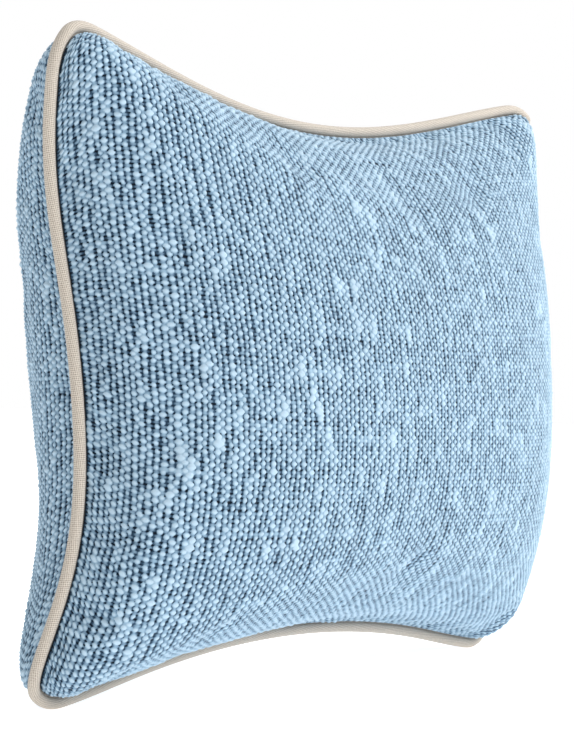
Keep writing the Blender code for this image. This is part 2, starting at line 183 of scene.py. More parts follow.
class Face:
    """One swelling face of a cushion, as a smooth function of two numbers from 0 to 1."""

    def __init__(self, seam, facing, edge, base, height, flat=None):
        self.seam, self.facing, self.edge, self.base, self.height, self.flat = seam, facing, edge, base, height, flat

    def at(self, alpha, beta):
        a, b = (1 - np.cos(np.pi * alpha)) / 2, (1 - np.cos(np.pi * beta)) / 2
        seam, out = self.seam, self.edge
        a3, b3 = a[..., None], b[..., None]
        corner = [seam.side(k, np.array([0.0]), out)[0] for k in range(4)]
        plan = (1 - b3) * seam.side(0, a, out) + b3 * seam.side(2, 1 - a, out)
        plan += (1 - a3) * seam.side(3, 1 - b, out) + a3 * seam.side(1, b, out)
        plan -= (1 - a3) * (1 - b3) * corner[0] + a3 * (1 - b3) * corner[1]
        plan -= a3 * b3 * corner[2] + (1 - a3) * b3 * corner[3]
        u, v = 2 * a - 1, 2 * b - 1
        full = self.base + swell(u, v, self.height, self.flat)
        room = np.sqrt((1 - u**2) * (1 - v**2))
        if self.facing > 0:
            full = full - BACK_SLACK * patch(u, v, (-0.68, -0.60), (0.35, 0.45)) * room
        else:
            low = patch(u, v, (0.55, -0.45), (0.35, 0.40))
            high = patch(u, v, (0.86, 0.74), (0.30, 0.36))
            full = full + (LOW_FULLNESS * low - HIGH_SLACK * high) * room
        y = self.facing * full + lean(u, v) + SEAM_Y
        return np.stack([plan[..., 0], y, plan[..., 1] - FLOOR], -1)

    def yarn_net(self, columns, picks, rounds=4):
        """Where the woven cloth's own square grid lies on the face: evenly spaced along every row and column."""
        alpha, beta = np.meshgrid(np.linspace(0, 1, columns + 1), np.linspace(0, 1, picks + 1), indexing="ij")
        even = [np.linspace(0, 1, columns + 1), np.linspace(0, 1, picks + 1)]
        for _ in range(rounds):
            for axis in (0, 1):
                steps = np.linalg.norm(np.diff(self.at(alpha, beta), axis=axis), axis=2)
                gone = np.cumsum(steps, axis=axis)
                gone = np.insert(gone, 0, 0, axis=axis)
                new_alpha, new_beta = alpha.copy(), beta.copy()
                for k in range(alpha.shape[1 - axis]):
                    line = (slice(None), k) if axis == 0 else (k, slice(None))
                    share = gone[line] / gone[line][-1]
                    new_alpha[line] = np.interp(even[axis], share, alpha[line])
                    new_beta[line] = np.interp(even[axis], share, beta[line])
                alpha, beta = new_alpha, new_beta
        return alpha, beta


def spread(table, p, q):
    """Values of a table between its places, at p and q counted in the table's own steps."""
    p = np.clip(p, 0, table.shape[0] - 1.000001)
    q = np.clip(q, 0, table.shape[1] - 1.000001)
    i, j = p.astype(int), q.astype(int)
    s, t = p - i, q - j
    i1, j1 = np.minimum(i + 1, table.shape[0] - 1), np.minimum(j + 1, table.shape[1] - 1)
    return (1 - s) * ((1 - t) * table[i, j] + t * table[i, j1]) + s * ((1 - t) * table[i1, j] + t * table[i1, j1])


def wander(dice, lines, length, reach):
    """Even random wandering along each of several lines, with a typical wavelength of reach."""
    raw = dice.normal(size=(lines, length + 6 * reach))
    bell = np.exp(-0.5 * (np.arange(-3 * reach, 3 * reach + 1) / (reach / 2)) ** 2)
    smooth = np.stack([np.convolve(row, bell, "same")[3 * reach:3 * reach + length] for row in raw])
    return smooth / smooth.std()


# ---------------------------------------------------------------- the woven cover

COLUMN_MM, PICK_MM = 3.84, 2.30   # spacing of the heavy upright yarns and of the finer cross yarns
COLUMNS, PICKS = 146, 183
PER_COLUMN, PER_PICK = 6, 4       # points across each yarn
LIP_PICKS = 24                    # the cloth folded back over the zip takes its slack from this many cross yarns
FRONT_MOST, BACK_MOST = 0.0045, 0.0025   # how far the filling may push each face out of its plain shape


def yarn_tables(seed):
    """Thickness and wandering of every yarn in one panel, from its slubs and thin places."""
    dice = np.random.default_rng(seed)
    warp_thick = 1 + 0.11 * wander(dice, COLUMNS + 2, 2 * PICKS + 2, 4)
    for i in range(COLUMNS + 2):
        for _ in range(dice.poisson(2.8)):
            place, reach, more = dice.uniform(0, 2 * PICKS), dice.uniform(1.2, 3.8), dice.uniform(0.25, 0.74)
            warp_thick[i] += more * np.exp(-0.5 * ((np.arange(2 * PICKS + 2) - place) / reach) ** 2)
    warp_shift = 0.115 * wander(dice, COLUMNS + 2, 2 * PICKS + 2, 5)
    bump = 1 + np.clip(0.36 * dice.normal(size=(COLUMNS + 2, PICKS + 2)), -0.65, 0.85)
    weft_thick = 1 + 0.07 * wander(dice, PICKS + 2, COLUMNS + 2, 4)
    for j in range(PICKS + 2):
        for _ in range(dice.poisson(0.7)):
            place, reach, more = dice.uniform(0, COLUMNS), dice.uniform(1.0, 3.0), dice.uniform(0.15, 0.5)
            weft_thick[j] += more * np.exp(-0.5 * ((np.arange(COLUMNS + 2) - place) / reach) ** 2)
    weft_shift = 0.09 * wander(dice, PICKS + 2, COLUMNS + 2, 7)
    tint = 0.5 * wander(dice, COLUMNS + 2, PICKS + 2, 9) + 0.6 * dice.normal(size=(COLUMNS + 2, 1))
    return warp_thick, warp_shift, bump, weft_thick, weft_shift, tint


def plain_weave(p, q, seed):
    """Height, in metres, of a plain weave of slub yarn at column p and pick q; its painted shade, from 0 deepest
    between the yarns to 1 on the highest tops; and the yarn's tint.
    """
    warp_thick, warp_shift, bump, weft_thick, weft_shift, tint = yarn_tables(seed)
    warp_half, warp_crimp = 0.80 * MM, 0.46 * MM
    weft_half, weft_crimp, weft_low = 0.46 * MM, 0.22 * MM, 0.48 * MM
    deep, sink = -1.30 * MM, 0.30 * MM
    best = np.full(p.shape, deep)
    shade = np.zeros(p.shape)
    for k in (-1, 0, 1):
        i = np.clip(np.floor(p).astype(int) + k, 0, COLUMNS)
        thick = spread(warp_thick, i + 0.0, 2 * q)
        x = p - i - 0.5 - spread(warp_shift, i + 0.0, 2 * q)
        over = np.cos(np.pi * (q - i))
        knob = bump[i, np.clip(2 * np.round((q - i) / 2).astype(int) + i, 0, PICKS)]
        narrow = 0.425 * thick * (0.86 + 0.14 * over) * (0.80 + 0.20 * knob)
        crown = np.sqrt(np.clip(1 - (x / narrow) ** 2, 0, 1))
        lift = warp_crimp * over * np.where(over > 0, 0.75 + 0.25 * knob, 1) + warp_half * thick * crown - warp_half
        lift = np.where(np.abs(x) < narrow, lift, deep)
        top = lift > best
        best = np.where(top, lift, best)
        shade = np.where(top, tint[i, np.clip(q.astype(int), 0, PICKS)], shade)
    for k in (-1, 0, 1):
        j = np.clip(np.round(q).astype(int) + k, 0, PICKS + 1)
        thick = spread(weft_thick, j + 0.0, p)
        y = q - j - spread(weft_shift, j + 0.0, p)
        over = -np.cos(np.pi * (j - p + 0.5))
        narrow = 0.47 * thick
        crown = np.sqrt(np.clip(1 - (y / narrow) ** 2, 0, 1))
        lift = weft_crimp * over - weft_low + weft_half * thick * crown - weft_half
        lift = np.where(np.abs(y) < narrow, lift, deep)
        best = np.maximum(best, lift)
    # The second value is painted shade: the cloth is darker the deeper it lies between the yarns.
    return best - sink, np.clip((best - deep) / (1.75 * MM), 0, 1), shade


def lattice_faces(columns, rows, flip):
    """The four-sided faces between a table of points."""
    at = np.arange((columns + 1) * (rows + 1)).reshape(columns + 1, rows + 1)
    quads = np.stack([at[:-1, :-1], at[1:, :-1], at[1:, 1:], at[:-1, 1:]], -1).reshape(-1, 4)
    return quads[:, ::-1] if flip else quads


def border_index(columns, rows):
    """The points round the border of a table of points, in order."""
    at = np.arange((columns + 1) * (rows + 1)).reshape(columns + 1, rows + 1)
    return np.concatenate([at[:-1, 0], at[-1, :-1], at[:0:-1, -1], at[0, :0:-1]])


def quad_piece(name, points, quads, uvs=None, marks=None):
    """A smooth piece from points and four-sided faces, with flat layouts and per-point marks for its material."""
    mesh = bpy.data.meshes.new(name)
    mesh.vertices.add(len(points))
    mesh.vertices.foreach_set("co", np.asarray(points, np.float32).ravel())
    mesh.loops.add(quads.size)
    mesh.loops.foreach_set("vertex_index", np.asarray(quads, np.int32).ravel())
    mesh.polygons.add(len(quads))
    mesh.polygons.foreach_set("loop_start", np.arange(0, quads.size, quads.shape[1], dtype=np.int32))
    mesh.update(calc_edges=True)
    for label, uv in (uvs or {}).items():
        layer = mesh.uv_layers.new(name=label)
        layer.data.foreach_set("uv", np.asarray(uv[quads.ravel()], np.float32).ravel())
    for label, values in (marks or {}).items():
        mesh.attributes.new(label, "FLOAT", "POINT").data.foreach_set("value", np.asarray(values, np.float32))
    mesh.shade_smooth()
    thing = bpy.data.objects.new(name, mesh)
    bpy.context.scene.collection.objects.link(thing)
    return thing


def spread_points(table, p, q):
    return np.stack([spread(table[:, :, k], p, q) for k in range(3)], -1)


def finer(table, times):
    """A table of points with more places between its own, on a smooth curve through them."""
    for axis in (0, 1):
        table = np.moveaxis(table, axis, 0)
        padded = np.concatenate([2 * table[:1] - table[1:2], table, 2 * table[-1:] - table[-2:-1]])
        n = len(table) - 1
        place = np.linspace(0, n, n * times + 1)
        i = np.minimum(place.astype(int), n - 1)
        t = (place - i)[:, None, None]
        a, b, c, d = padded[i], padded[i + 1], padded[i + 2], padded[i + 3]
        table = b + t * (c - a) / 2 + t**2 * (a - 2.5 * b + 2 * c - d / 2) + t**3 * (1.5 * (b - c) + (d - a) / 2)
        table = np.moveaxis(table, 0, axis)
    return table


def filled_bag(front, back, across=60, up=44, slack=0.02, start_size=0.97, moments=20):
    """Blows the cover up as a bag of loose cloth held at its seam, and says how far each face has moved."""
    alpha, beta = np.meshgrid(np.linspace(0, 1, across + 1), np.linspace(0, 1, up + 1), indexing="ij")
    rest = [face.at(alpha, beta) for face in (front, back)]
    middle = lean(-np.cos(np.pi * alpha), -np.cos(np.pi * beta)) + SEAM_Y
    points = []
    for one in rest:  # the bag starts a little smaller than it ends
        small = one.copy()
        small[:, :, 1] = middle + (one[:, :, 1] - middle) * start_size
        points.append(small.reshape(-1, 3))
    count, ring = len(points[0]), border_index(across, up)
    quads = np.concatenate([
        lattice_faces(across, up, False), lattice_faces(across, up, True) + count,
        np.stack([ring, ring + count, np.roll(ring, -1) + count, np.roll(ring, -1)], 1),
    ])
    bag = quad_piece("bag", np.concatenate(points), quads)
    held = bag.vertex_groups.new(name="seam")
    held.add([int(k) for k in np.concatenate([ring, ring + count])], 1.0, "REPLACE")
    cloth = bag.modifiers.new("filling", "CLOTH")
    how = cloth.settings
    how.quality, how.mass = 7, 0.3
    how.use_pressure, how.uniform_pressure_force = True, 4.0
    how.vertex_group_mass = "seam"
    how.bending_stiffness, how.tension_stiffness, how.compression_stiffness = 4.0, 20.0, 20.0
    how.shrink_min = how.shrink_max = -slack
    how.effector_weights.gravity = 0.0
    cloth.collision_settings.use_collision = False
    cloth.point_cache.frame_start, cloth.point_cache.frame_end = 1, moments
    for moment in range(1, moments + 1):
        bpy.context.scene.frame_set(moment)
    blown = bag.evaluated_get(bpy.context.evaluated_depsgraph_get()).to_mesh()
    after = np.empty(len(blown.vertices) * 3, np.float32)
    blown.vertices.foreach_get("co", after)
    bpy.context.scene.frame_set(1)
    bpy.data.objects.remove(bag)
    after = after.reshape(2, across + 1, up + 1, 3).astype(float)
    moved = []
    for one, now, most in zip(rest, after, (FRONT_MOST, BACK_MOST)):
        gone = now - one
        far = np.linalg.norm(gone, axis=2, keepdims=True)
        gone = gone * (most * np.tanh(far / most) / np.maximum(far, 1e-9))
        moved.append(finer(gone, 4))
    return moved


def woven_panel(name, face, settled, seed, zip_gap=False):
    """One panel of the cover, woven yarn by yarn. Its edge folds into the seam, or is hemmed over the zip."""
    alpha, beta = face.yarn_net(COLUMNS // 2, PICKS // 2)

    def netted(p, q):
        ka, kb = (alpha.shape[0] - 1) / COLUMNS, (alpha.shape[1] - 1) / PICKS
        return spread(alpha, p * ka, q * kb), spread(beta, p * ka, q * kb)

    nx, ny = COLUMNS * PER_COLUMN, PICKS * PER_PICK
    p, q = np.meshgrid(np.linspace(0, COLUMNS, nx + 1), np.linspace(0, PICKS, ny + 1), indexing="ij")
    lipped = np.zeros(nx + 1)
    if zip_gap:
        low_p, low_q = np.meshgrid(p[:, 0], np.linspace(0, LIP_PICKS, 160), indexing="ij")
        at = face.at(*netted(low_p, low_q))
        lipped = 1 - soft_step(np.abs(at[:, 0, 0]), ZIP_HALF, ZIP_HALF + 0.004)
        clear = np.array([np.interp(OPENING_Y, off, low_q[0]) for off in face.facing * (at[:, :, 1] - SEAM_Y)])
        lip = (clear * lipped)[:, None]
        q = q + lip * np.clip(1 - q / LIP_PICKS, 0, 1)
    fine = netted(p, q)
    ground = face.at(*fine)
    ground = ground + spread_points(settled, fine[0] * (settled.shape[0] - 1), fine[1] * (settled.shape[1] - 1))
    normal = np.cross(np.gradient(ground, axis=0), np.gradient(ground, axis=1))
    normal /= np.linalg.norm(normal, axis=2, keepdims=True)
    normal *= np.sign(normal[:, :, 1].sum() * face.facing)
    relief, lightness, tint = plain_weave(p, q, seed)
    edge = np.minimum(np.minimum(p, COLUMNS - p) * COLUMN_MM, np.minimum(q, PICKS - q) * PICK_MM)
    points = ground + normal * (relief * (0.35 + 0.65 * soft_step(edge, 0.0, 3.0)))[:, :, None]

    ring = border_index(nx, ny)
    side = np.repeat(np.arange(4), [nx, ny, nx, ny])
    a, b = [((1 - np.cos(np.pi * t)) / 2).ravel()[ring] for t in fine]
    c = COVER.corners
    s = c[side] + np.choose(side, [a, b, 1 - a, 1 - b]) * (c[side + 1] - c[side])
    slump = lean(*COVER.shares(s))
    plan, out = COVER.points(s), COVER.outward(s)
    hem = np.where(side == 0, np.pad(lipped[:-1], (0, len(ring) - nx)), 0.0)[:, None]
    sunk = ground.reshape(-1, 3)[ring]
    n = normal.reshape(-1, 3)[ring]
    up = ground[:, PER_PICK] - ground[:, 0]
    up = up / np.linalg.norm(up, axis=1, keepdims=True)
    up = np.pad(up[:-1], ((0, len(ring) - nx), (0, 0)))

    lay_p = np.stack([p.ravel() / COLUMNS, q.ravel() / PICKS], 1)
    yarn = lay_p * (COLUMNS * COLUMN_MM, PICKS * PICK_MM)
    push = lay_p[ring] - 0.5
    push = push / np.abs(push).max(1, keepdims=True)
    layers, quads = [points.reshape(-1, 3)], [lattice_faces(nx, ny, face.facing > 0)]
    flats, yarns, marks, tints = [0.03 + 0.94 * lay_p], [yarn], [lightness.ravel()], [tint.ravel()]
    before, start = ring, p.size
    # Each fold: how far into the seam, how far off its plane, and for the hem how far back under and how deep, in mm.
    folds = (
        (0.0, 0.0023, -0.2, 0.4), (0.0004, 0.0016, 0.0, 0.8),
        (0.0014, COVER_LOW, 1.5, 0.9), (0.008, COVER_LOW, 8.0, 0.9),
    )
    for step, (into, off, under, deep) in enumerate(folds):
        tucked = plan + out * (COVER_EDGE - into)
        layer = np.stack([tucked[:, 0], face.facing * off + slump + SEAM_Y, tucked[:, 1] - FLOOR], 1)
        layer = (1 - hem) * layer + hem * (sunk + up * under * MM - n * deep * MM)
        now = start + np.arange(len(ring))
        strip = np.stack([before, now, np.roll(now, -1), np.roll(before, -1)], 1)
        quads.append(strip[:, ::-1] if face.facing > 0 else strip)
        layers.append(layer)
        flats.append(0.5 + push * (0.47 + 0.005 * (step + 1)))
        yarns.append(yarn[ring] + push * (step + 1))
        # The folds tucked into the seam take the same painted shade, made darker still at 0.6 of it.
        marks.append(lightness.ravel()[ring] * 0.6)
        tints.append(tint.ravel()[ring])
        before, start = now, start + len(ring)
    return quad_piece(
        name, np.concatenate(layers), np.concatenate(quads),
        {"OFBake": np.concatenate(flats), "yarn_mm": np.concatenate(yarns)},
        {"lightness": np.concatenate(marks), "yarn_tint": np.concatenate(tints)},
    )


front_face = Face(COVER, -1, COVER_EDGE, COVER_BASE, BULGE_FRONT)
back_face = Face(COVER, 1, COVER_EDGE, COVER_BASE, BULGE_BACK, BACK_FLAT)
front_moved, back_moved = filled_bag(front_face, back_face)
cover_front = woven_panel("cover_front", front_face, front_moved, seed=11)
cover_back = woven_panel("cover_back", back_face, back_moved, seed=23, zip_gap=True)


# ---------------------------------------------------------------- the piping and the cord in it

def swept(name, s, section):
    """A closed section of (out, depth) points, carried all the way round the seam."""
    count, sides = len(s), np.shape(section)[-2]
    section = np.broadcast_to(section, (count, sides, 2))
    flat, out = COVER.points(s), COVER.outward(s)
    slump = lean(*COVER.shares(s))
    plan = flat[:, None] + out[:, None] * section[:, :, :1]
    y = section[:, :, 1] + slump[:, None] + SEAM_Y
    points = np.stack([plan[:, :, 0], y, plan[:, :, 1] - FLOOR], -1)
    ring = np.vstack([section[0], section[0][:1]])
    girth = np.concatenate([[0.0], np.cumsum(np.linalg.norm(np.diff(ring, axis=0), axis=1))])
    at = np.arange(count * sides).reshape(count, sides)
    there, over = np.roll(at, -1, axis=0), np.roll(at, -1, axis=1)
    both = np.roll(there, -1, axis=1)
    quads = np.stack([at, there, both, over], -1).reshape(-1, 4)
    mesh = bpy.data.meshes.new(name)
    mesh.from_pydata(points.reshape(-1, 3).tolist(), [], quads.tolist())
    k = np.repeat(np.arange(count), sides)
    m = np.tile(np.arange(sides), count)
    length = np.append(s, s[0] + COVER.total)
    corners = [(k, m), (k + 1, m), (k + 1, m + 1), (k, m + 1)]
    uv = np.stack([np.stack([length[i] / MM, girth[j] / MM], -1) for i, j in corners], 1).reshape(-1, 2)
    mesh.uv_layers.new(name="thread_mm").data.foreach_set("uv", uv.astype(np.float32).ravel())
    mesh.shade_smooth()
    solid = bmesh.new()
    solid.from_mesh(mesh)
    bmesh.ops.recalc_face_normals(solid, faces=solid.faces)
    solid.to_mesh(mesh)
    solid.free()
    thing = bpy.data.objects.new(name, mesh)
    bpy.context.scene.collection.objects.link(thing)
    return thing


def arc(radius, start, end, steps):
    turn = np.radians(np.linspace(start, end, steps))
    return np.stack([radius * np.cos(turn), radius * np.sin(turn)], 1)


# The piping's section: a round cover that closes over the cord and runs on as two plies into the seam.
places = np.linspace(0, COVER.total, 1900, endpoint=False)
outside = arc(PIPING_RADIUS, 158, -158, 36)
ply = PLY_GAP + PIPING_CLOTH
inside = arc(CORD_RADIUS + 0.0002, -172, 172, 18)
lollipop = np.concatenate([
    [[-FLANGE, ply], [-0.0070, ply], [-0.0042, ply], [-0.0035, ply + 0.00015]], outside,
    [[-0.0035, -ply - 0.00015], [-0.0042, -ply], [-0.0070, -ply], [-FLANGE, -ply]],
    [[-FLANGE, -PLY_GAP], [-0.0042, -PLY_GAP]], inside, [[-0.0042, PLY_GAP], [-FLANGE, PLY_GAP]],
])
piping = swept("piping", places, lollipop)

# Three strands, laid 14 mm to the turn.
CORD_LAY = 0.014
angle = np.arange(24) * 2 * np.pi / 24
twist = np.round(COVER.total / CORD_LAY) * 2 * np.pi * places[:, None] / COVER.total
lobes = CORD_RADIUS * (0.90 + 0.085 * np.abs(np.cos(1.5 * (angle[None] + twist))))
cord_section = np.stack([lobes * np.cos(angle), lobes * np.sin(angle)], -1)
cord = swept("filler_cord", places, cord_section)


# ---------------------------------------------------------------- the pad inside: sheeting and filling

def ripples(u, v, seed, reach):
    """Soft unevenness of a filled pad, in metres."""
    dice = np.random.default_rng(seed)
    total = np.zeros(np.shape(u))
    for _ in range(26):
        turn, phase, rate = dice.uniform(0, np.pi), dice.uniform(0, 2 * np.pi), dice.uniform(3, 13)
        total += np.sin(rate * (u * 1.4 * np.cos(turn) + v * np.sin(turn)) + phase) / rate**0.7
    return reach * total / total.std()


def filled_side(face, across, up, seed, reach, inwards):
    """Points of one side of the pad, and their places on its flat layout."""
    alpha, beta = np.meshgrid(np.linspace(0, 1, across + 1), np.linspace(0, 1, up + 1), indexing="ij")
    at = face.at(alpha, beta)
    u, v = -np.cos(np.pi * alpha), -np.cos(np.pi * beta)
    uneven = np.minimum(ripples(u, v, seed, reach), reach) - inwards
    at[:, :, 1] += face.facing * uneven * (1 - u**2) ** 0.5 * (1 - v**2) ** 0.5
    return at.reshape(-1, 3), np.stack([alpha.ravel(), beta.ravel()], 1)


def pad_panel(name, face, seed):
    """One sheet of the pad, whose edge laps into the pad's own seam."""
    across, up = 150, 110
    points, flat = filled_side(face, across, up, seed, 0.0010, 0.0012)
    ring = border_index(across, up)
    side = np.repeat(np.arange(4), [across, up, across, up])
    turn = np.concatenate([np.arange(n) / n for n in (across, up, across, up)])
    s = INSERT.corners[side] + np.diff(INSERT.corners)[side] * (1 - np.cos(np.pi * turn)) / 2
    slump = lean(*INSERT.shares(s))
    plan, out = INSERT.points(s), INSERT.outward(s)
    layers, quads, flats = [points], [lattice_faces(across, up, face.facing > 0)], [0.03 + 0.94 * flat]
    before, start = ring, len(points)
    push = flat[ring] - 0.5
    push = push / np.abs(push).max(1, keepdims=True)
    for step, (into, off) in enumerate(((0.0, 0.0008), (0.0006, PLY_GAP), (0.008, PLY_GAP))):
        tucked = plan - out * into
        layers.append(np.stack([tucked[:, 0], face.facing * off + slump + SEAM_Y, tucked[:, 1] - FLOOR], 1))
        now = start + np.arange(len(ring))
        strip = np.stack([before, now, np.roll(now, -1), np.roll(before, -1)], 1)
        quads.append(strip[:, ::-1] if face.facing > 0 else strip)
        flats.append(0.5 + push * (0.47 + 0.005 * (step + 1)))
        before, start = now, start + len(ring)
    flats = np.concatenate(flats)
    return quad_piece(name, np.concatenate(layers), np.concatenate(quads),
                      {"OFBake": flats, "thread_mm": flats * (WIDTH / MM, HEIGHT / MM)})


PAD_BASE = 0.0016
pad_front = pad_panel("pad_front", Face(INSERT, -1, 0.0, PAD_BASE, BULGE_FRONT - SPARE), 5)
pad_back = pad_panel("pad_back", Face(INSERT, 1, 0.0, PAD_BASE, BULGE_BACK - SPARE, BACK_FLAT - SPARE / 2), 6)


def fibre_filling():
    """The loose fibre as one lump, a little inside the pad's sheets."""
    across, up, wall = 120, 90, 0.006
    sides = [
        Face(FILLING, -1, 0.0, wall, BULGE_FRONT - 2 * SPARE - wall),
        Face(FILLING, 1, 0.0, wall, BULGE_BACK - 2 * SPARE - wall, BACK_FLAT - SPARE - wall),
    ]
    points = [filled_side(face, across, up, 7 + k, 0.0022, 0.0030)[0] for k, face in enumerate(sides)]
    ring, count = border_index(across, up), len(points[0])
    quads = [lattice_faces(across, up, False), lattice_faces(across, up, True) + count]
    quads.append(np.stack([ring, ring + count, np.roll(ring, -1) + count, np.roll(ring, -1)], 1))
    return quad_piece("filling", np.concatenate(points), np.concatenate(quads))


filling = fibre_filling()


# ---------------------------------------------------------------- the zip

def on_arc(along, out, y):
    """A place along the zip, out from the arc that it lies on, and y behind the seam."""
    turn, reach = along / ARC_RADIUS, ARC_RADIUS - out
    return np.stack([reach * np.sin(turn), y + SEAM_Y + 0 * along, ARC_CENTRE + reach * np.cos(turn)], -1)


def tube(name, path, radius, sides, tops=()):
    """A round strand along a path, closed at its ends. Several may follow each other, split where tops says."""
    path = np.asarray(path)
    way = np.gradient(path, axis=0)
    way /= np.linalg.norm(way, axis=1, keepdims=True)
    side = np.cross(way, (0.0, 1.0, 0.0))
    side /= np.linalg.norm(side, axis=1, keepdims=True)
    above = np.cross(side, way)
    turn = np.arange(sides) * 2 * np.pi / sides
    radius = np.broadcast_to(radius, (len(path),))[:, None, None]
    around = np.cos(turn)[None, :, None] * side[:, None] + np.sin(turn)[None, :, None] * above[:, None]
    points = path[:, None] + radius * around
    at = np.arange(len(path) * sides).reshape(len(path), sides)
    over = np.roll(at, -1, axis=1)
    faces = []
    for run in np.split(np.arange(len(path)), tops):
        a, b, c, d = at[run[:-1]], at[run[1:]], over[run[1:]], over[run[:-1]]
        faces += np.stack([a, b, c, d], -1).reshape(-1, 4).tolist()
        faces += [at[run[0]].tolist(), at[run[-1]][::-1].tolist()]
    mesh = bpy.data.meshes.new(name)
    mesh.from_pydata(points.reshape(-1, 3).tolist(), [], faces)
    mesh.shade_smooth()
    solid = bmesh.new()
    solid.from_mesh(mesh)
    bmesh.ops.recalc_face_normals(solid, faces=solid.faces)
    solid.to_mesh(mesh)
    solid.free()
    thing = bpy.data.objects.new(name, mesh)
    bpy.context.scene.collection.objects.link(thing)
    return thing


TAPE_OUT = -0.0070096   # the tapes' outer face, from the arc
COIL_TURN, COIL_WIRE = 1.5 * MM, 0.32 * MM


def coil(name, side):
    """One row of the zip: a helix of wire, half a turn out of step with the other row."""
    turns = 2 * CHAIN_HALF / COIL_TURN
    t = np.linspace(0, turns, int(turns * 14))
    phase = 2 * np.pi * t + (0 if side > 0 else np.pi)
    y = CHAIN_Y + side * (1.24 * MM - 1.30 * MM * np.cos(phase))
    out = TAPE_OUT + 1.02 * MM + 0.58 * MM * np.sin(phase)
    return tube(name, on_arc(-CHAIN_HALF + t * COIL_TURN, out, y), COIL_WIRE, 7)


coil_front, coil_back = coil("coil_front", -1), coil("coil_back", 1)


def lip_stitches():
    """The machine stitches that hold the back panel's hem to the zip tape, one by one."""
    face = Face(COVER, 1, COVER_EDGE, COVER_BASE, BULGE_BACK, BACK_FLAT)
    alpha, beta = np.meshgrid(np.linspace(0.2, 0.8, 500), np.linspace(0, 0.2, 80), indexing="ij")
    at = face.at(alpha, beta)
    line = np.array([[np.interp(OPENING_Y + 0.0032, row[:, 1] - SEAM_Y, row[:, c]) for c in range(3)] for row in at])
    line = line[np.abs(line[:, 0]) < ZIP_HALF - 0.002]
    gone = np.concatenate([[0.0], np.cumsum(np.linalg.norm(np.diff(line, axis=0), axis=1))])
    path, splits, radii = [], [], []
    for start in np.arange(0.001, gone[-1] - 0.004, 0.0034):
        t = np.linspace(0, 1, 7)
        stitch = np.stack([np.interp(start + t * 0.0028, gone, line[:, c]) for c in range(3)], 1)
        stitch += np.array([0.0, 0.00022, -0.00040]) * np.sin(np.pi * t)[:, None] + (0.0, -0.00010, 0.00018)
        path.append(stitch)
        radii.append(np.array([0.10, 0.19, 0.22, 0.23, 0.22, 0.19, 0.10]) * MM)
        splits.append(7 * len(path))
    return tube("hem_stitches", np.concatenate(path), np.concatenate(radii), 6, splits[:-1])


stitches = lip_stitches()


# ---------------------------------------------------------------- finishes

def paint(hex_code):
    """An sRGB hex colour as the linear colour a shader takes."""
    channels = [int(hex_code[k:k + 2], 16) / 255 for k in (1, 3, 5)]
    return (*[c / 12.92 if c <= 0.04045 else ((c + 0.055) / 1.055) ** 2.4 for c in channels], 1.0)


def add_node(tree, kind, links=None, **settings):
    """Add a node. settings are its own properties; links gives its sockets a value or a wire."""
    made = tree.nodes.new(kind)
    for key, value in settings.items():
        setattr(made, key, value)
    for key, value in (links or {}).items():
        if isinstance(value, bpy.types.NodeSocket):
            tree.links.new(value, made.inputs[key])
        else:
            made.inputs[key].default_value = value
    return made


def new_finish(name, **sockets):
    finish = bpy.data.materials.new(name)
    finish.use_nodes = True
    tree = finish.node_tree
    shader = tree.nodes["Principled BSDF"]
    for label, value in sockets.items():
        shader.inputs[label.replace("_", " ")].default_value = value
    return finish, tree, shader


def ramp(tree, factor, *stops):
    made = add_node(tree, "ShaderNodeValToRGB", {0: factor})
    bar = made.color_ramp
    while len(bar.elements) < len(stops):
        bar.elements.new(0.5)
    for element, (place, colour) in zip(bar.elements, stops):
        element.position, element.color = place, paint(colour)
    return made.outputs["Color"]


def noise(tree, place, scale, detail, roughness):
    sockets = {"Vector": place, "Scale": scale, "Detail": detail, "Roughness": roughness}
    return add_node(tree, "ShaderNodeTexNoise", sockets).outputs["Fac"]


def slub_woven_cotton():
    """Loosely woven slub cotton: matt, with painted shade that makes it dark in the openings between yarns and paler
    where a yarn swells and stands high.
    """
    finish, tree, shader = new_finish(
        "slub_woven_cotton", Roughness=0.88, Sheen_Weight=0.60, Sheen_Roughness=0.36, Specular_IOR_Level=0.22,
    )
    shader.inputs["Sheen Tint"].default_value = paint("#dcebf7")
    lightness = add_node(tree, "ShaderNodeAttribute", attribute_name="lightness").outputs["Fac"]
    tint = add_node(tree, "ShaderNodeAttribute", attribute_name="yarn_tint").outputs["Fac"]
    yarn = add_node(tree, "ShaderNodeUVMap", uv_map="yarn_mm").outputs["UV"]
    # Fibres lie along the yarn: 0.25 mm wide and 1.5 mm long.
    lie = add_node(tree, "ShaderNodeMapping", {"Vector": yarn, "Scale": (4.0, 0.7, 1.0)}).outputs["Vector"]
    fibre = noise(tree, lie, 1.0, 3.0, 0.6)
    # Dye takes unevenly over 20 mm or so.
    wash = add_node(tree, "ShaderNodeTexNoise", {"Vector": yarn, "Scale": 0.05, "Detail": 2.0}).outputs["Fac"]
    # Painted shade: the ramp runs from near black where the weave lies deepest to the cloth's own pale blue on the
    # yarn tops.
    body = ramp(tree, lightness, (0.27, "#0a1724"), (0.45, "#324c63"), (0.61, "#84a1b7"), (0.92, "#aec5d5"))
    lift = add_node(tree, "ShaderNodeMath", {0: tint, 1: 0.035, 2: 1.0}, operation="MULTIPLY_ADD").outputs[0]
    lift = add_node(tree, "ShaderNodeMath", {0: fibre, 1: 0.26, 2: lift}, operation="MULTIPLY_ADD").outputs[0]
    lift = add_node(tree, "ShaderNodeMath", {0: wash, 1: 0.16, 2: lift}, operation="MULTIPLY_ADD").outputs[0]
    lift = add_node(tree, "ShaderNodeMath", {0: lift, 1: 0.21}, operation="SUBTRACT").outputs[0]
    shade = add_node(tree, "ShaderNodeHueSaturation", {"Color": body, "Value": lift}).outputs["Color"]
    tree.links.new(shade, shader.inputs["Base Color"])
    bump = add_node(tree, "ShaderNodeBump", {"Height": fibre, "Strength": 0.5, "Distance": 0.25 * MM})
    tree.links.new(bump.outputs["Normal"], shader.inputs["Normal"])
    return finish


